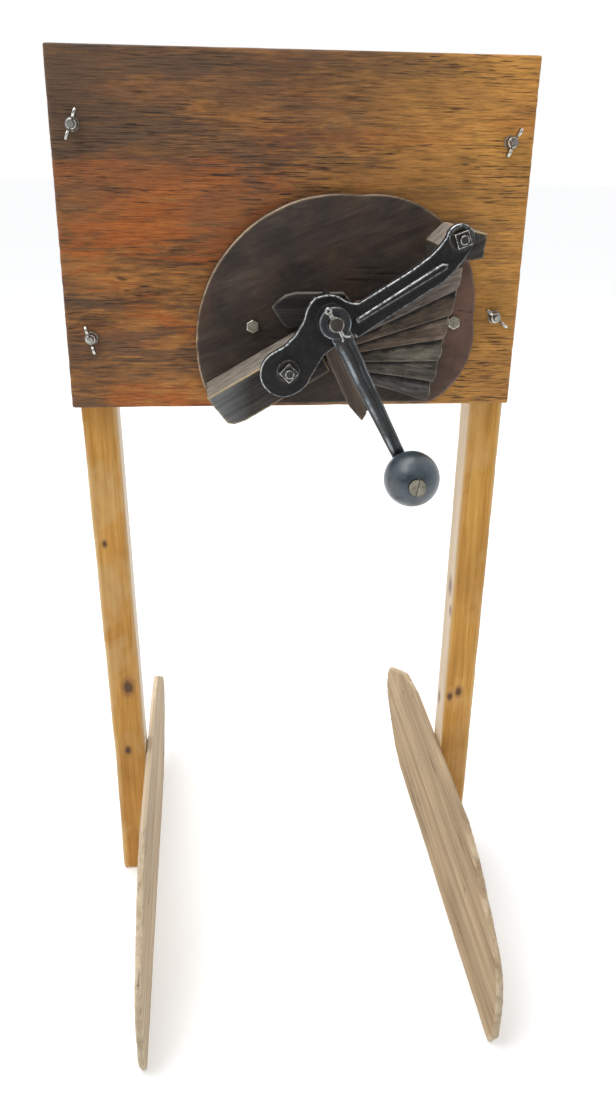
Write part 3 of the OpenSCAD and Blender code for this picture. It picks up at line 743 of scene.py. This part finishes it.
# The other fittings are the CAD's own meshes with rounded edges, 0.5 mm where not given
FITTINGS = (
    (ZINC, ["foot_screws", "leg_bolts", "wing_washers", "knob_washer"]),
    (OILY, ["rear_bushing", "bridge_washers", "leaf_nails", "slat_nails", "drum_pin",
            "shaft_collar", "collar_screw"]),
    (BRASS, ["plate_nuts", "knob_screw"]))
ROUND = {"knob_washer": 0.25, "wing_washers": 0.3, "bridge_washers": 0.3, "knob_screw": 0.6}
for look, members in FITTINGS:
    for n in members:
        ob = NODES[n]
        ob.data.materials.clear()
        ob.data.materials.append(look)
        weld = ob.modifiers.new("weld", "WELD")
        weld.merge_threshold = 1e-6
        bevel = ob.modifiers.new("bevel", "BEVEL")
        bevel.width = ROUND.get(n, 0.5) * MM
        bevel.segments = 3
        bevel.limit_method = "ANGLE"
        bevel.angle_limit = math.radians(35)


def lathe(name, profile, segments, centre):
    """Turns (radius, y) pairs about a Y axis through centre = (x, z). All in metres."""
    verts, faces = [], []
    for r, y in profile:
        for s in range(segments):
            a = 2 * math.pi * s / segments
            verts.append((centre[0] + r * math.cos(a), y, centre[1] + r * math.sin(a)))
    n = len(profile)
    for i in range(n - 1):
        for s in range(segments):
            u = (s + 1) % segments
            faces.append((i * segments + s, i * segments + u, (i + 1) * segments + u,
                          (i + 1) * segments + s))
    me = bpy.data.meshes.new(name)
    me.from_pydata(verts, [], faces)
    bm = bmesh.new()
    bm.from_mesh(me)
    bmesh.ops.remove_doubles(bm, verts=bm.verts, dist=1e-7)
    bmesh.ops.recalc_face_normals(bm, faces=bm.faces)
    bm.to_mesh(me)
    bm.free()
    return link(name, me)


def tube(bm, path, radius, closed=False, sides=12):
    """Adds a round bar swept along the points of path."""
    path = [Vector(p) for p in path]
    n = len(path)
    rings = []
    for i, p in enumerate(path):
        before = path[i - 1] if i or closed else p
        after = path[(i + 1) % n] if i < n - 1 or closed else p
        along_path = (after - before).normalized()
        side = along_path.cross(Vector((0.3, 1, 0.2))).normalized()
        other = along_path.cross(side)
        rings.append([bm.verts.new(p + radius * (math.cos(2 * math.pi * k / sides) * side
                                                 + math.sin(2 * math.pi * k / sides) * other))
                      for k in range(sides)])
    for i in range(n if closed else n - 1):
        a, b = rings[i], rings[(i + 1) % n]
        for k in range(sides):
            bm.faces.new((a[k], a[(k + 1) % sides], b[(k + 1) % sides], b[k]))
    if not closed:
        bm.faces.new(rings[0])
        bm.faces.new(rings[-1])


def cotter():
    """Split pin through the end of the shaft: an eye above and two bent legs below."""
    lo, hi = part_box("cross_pin")
    centre = (lo + hi) / 2
    d = Vector((hi.x - lo.x, 0, lo.z - hi.z)).normalized()
    n = Vector((-d.z, 0, d.x))
    half = (hi.z - lo.z) / 2 / abs(d.z)
    leg_gap = 0.85 * MM
    bend_at = half - 5 * MM
    bm = bmesh.new()
    eye = centre - d * (half - 2.4 * MM)
    tube(bm, [eye + 2.1 * MM * (math.cos(a) * d + math.sin(a) * n)
              for a in np.linspace(0, 2 * math.pi, 24, endpoint=False)], 1.15 * MM, closed=True)
    for s, bend in ((1, 5.2), (-1, 2.2)):
        path = [centre + d * u + n * s * leg_gap for u in np.linspace(-half + 4 * MM, bend_at, 8)]
        for k in range(1, 8):
            a = k / 7
            path.append(centre + d * (bend_at + 4.4 * MM * math.sin(a * 1.45))
                        + n * s * (leg_gap + bend * MM * (1 - math.cos(a * 1.45)))
                        + Vector((0, -1.6 * MM * a * a, 0)))
        tube(bm, path, 0.95 * MM)
    bmesh.ops.recalc_face_normals(bm, faces=bm.faces)
    me = bpy.data.meshes.new("Split_pin")
    bm.to_mesh(me)
    bm.free()
    finish_piece(link("Split_pin", me), "cross_pin", "crank", PIN)


cotter()

# Ball knob: a turned ball with a short neck and a counterbored screw hole
NECK_R, HOLE_R, SINK_R, CHAMFER = 11 * MM, 3.55 * MM, 7.9 * MM, 0.6 * MM
BALL_STEPS = 60
lo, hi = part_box("ball_knob")
knob_r = (hi.x - lo.x) / 2
back = hi.y
middle = back + 0.5 * MM - knob_r
seat = middle - knob_r + 3 * MM
profile = [(HOLE_R, back), (NECK_R - CHAMFER, back), (NECK_R, back - CHAMFER)]
start = math.asin(NECK_R / knob_r)
end = math.pi - math.asin(SINK_R / knob_r)
for i in range(BALL_STEPS + 1):
    a = start + (end - start) * i / BALL_STEPS
    profile.append((knob_r * math.sin(a), middle + knob_r * math.cos(a)))
profile += [(SINK_R - 0.3 * MM, profile[-1][1] + 0.3 * MM), (SINK_R - 0.3 * MM, seat - 0.1 * MM),
            (HOLE_R + 0.2 * MM, seat), (HOLE_R, seat + 0.3 * MM), (HOLE_R, back)]
knob = lathe("Ball_knob", profile, 96, ((lo.x + hi.x) / 2, (lo.z + hi.z) / 2))
t = Tree("Painted_knob")
rub = t.noise(t.where, 70, 5, 0.65, 0.6)
fine = t.noise(t.where, 900, 4, 0.6)
streak = t.noise(t.place(scale=(60, 420, 60)), 1, 4, 0.6, 0.3)
paint = t.mix(t.span(rub, 0.35, 0.65), (0.015, 0.026, 0.035), (0.043, 0.066, 0.084))
paint = t.mix(t.span(streak, 0.55, 0.7, 0, 0.5), paint, (0.11, 0.115, 0.105))
paint = t.mix(t.span(fine, 0.62, 0.72, 0, 0.5), paint, (0.02, 0.02, 0.02))
t.set(Base_Color=paint, Roughness=t.span(rub, 0.3, 0.7, 0.28, 0.5), Specular_IOR_Level=0.5,
      Coat_Weight=0.5, Coat_Roughness=0.3)
t.bump([(rub, 0.25, 0.4), (streak, 0.3, 0.12), (fine, 0.25, 0.05)])
finish_piece(knob, "ball_knob", "knob", t.material)

# ---------------------------------------------------------------- floor, light, camera

bpy.ops.mesh.primitive_plane_add(size=30, location=(0, 4, 0))
floor = bpy.context.object
floor.name = "Floor"
t = Tree("Floor_paint")
pale = t.ramp(t.noise(t.where, 2, 2), [(0, (0.90, 0.91, 0.92)), (1, (0.92, 0.93, 0.94))])
t.set(Base_Color=pale, Roughness=0.9, Specular_IOR_Level=0.1, Emission_Color=(1, 1, 1, 1),
      Emission_Strength=0.19)
floor.data.materials.append(t.material)

scene = bpy.context.scene
world = bpy.data.worlds.new("Studio")
scene.world = world
world.use_nodes = True
# A white room, dimmer on the side the object faces
sky = world.node_tree
towards = sky.nodes.new("ShaderNodeSeparateXYZ")
sky.links.new(sky.nodes.new("ShaderNodeTexCoord").outputs["Generated"], towards.inputs[0])
dim = sky.nodes.new("ShaderNodeMapRange")
dim.interpolation_type = "SMOOTHSTEP"
for socket, value in (("From Min", -0.97), ("From Max", -0.1), ("To Min", 0.16), ("To Max", 1.0)):
    dim.inputs[socket].default_value = value
sky.links.new(towards.outputs["Y"], dim.inputs["Value"])
seen = sky.nodes.new("ShaderNodeMath")
seen.operation = "MAXIMUM"
sky.links.new(sky.nodes.new("ShaderNodeLightPath").outputs["Is Camera Ray"], seen.inputs[0])
sky.links.new(dim.outputs[0], seen.inputs[1])
sky.links.new(seen.outputs[0], sky.nodes["Background"].inputs[1])
sky.nodes["Background"].inputs[0].default_value = (1, 1, 1, 1)
scene.view_settings.view_transform = "Standard"
scene.view_settings.look = "None"


def area(name, place, target, size, power):
    """A soft rectangular light at place, aimed at target."""
    data = bpy.data.lights.new(name, "AREA")
    data.shape = "RECTANGLE"
    data.size, data.size_y = size
    data.energy = power
    ob = bpy.data.objects.new(name, data)
    scene.collection.objects.link(ob)
    ob.location = place
    ob.rotation_euler = (Vector(target) - Vector(place)).to_track_quat("-Z", "Y").to_euler()


area("Key", (-1.2, -0.9, 2.5), (0, 0, 0.6), (1.2, 1.2), 20)
area("Top", (-0.5, 0.5, 2.6), (0, 0, 0.5), (1.6, 1.6), 30)

# The camera stands a little left of the middle and looks down and slightly to the right. The
# angles are in radians, and the focal length is a share of the frame's height.
CAMERA_AT = (-0.0853, -0.9314, 0.8219)
YAW, PITCH, ROLL = 0.1097, 0.409, 0.0172
SENSOR = 36
FOCAL, FRAME_HEIGHT = 952.8, 1100
right = Vector((math.cos(YAW), -math.sin(YAW), 0))
ahead = Vector((math.sin(YAW) * math.cos(PITCH), math.cos(YAW) * math.cos(PITCH),
                -math.sin(PITCH)))
up = right.cross(ahead)
rolled_right = right * math.cos(ROLL) + up * math.sin(ROLL)
rolled_up = -right * math.sin(ROLL) + up * math.cos(ROLL)
cam_data = bpy.data.cameras.new("Camera")
cam = bpy.data.objects.new("Camera", cam_data)
scene.collection.objects.link(cam)
cam.matrix_world = (Matrix.Translation(CAMERA_AT)
                    @ Matrix((rolled_right, rolled_up, -ahead)).transposed().to_4x4())
cam_data.sensor_width = SENSOR
cam_data.sensor_fit = "AUTO"
cam_data.lens = FOCAL / FRAME_HEIGHT * SENSOR
cam_data.clip_start, cam_data.clip_end = 0.05, 100
scene.camera = cam
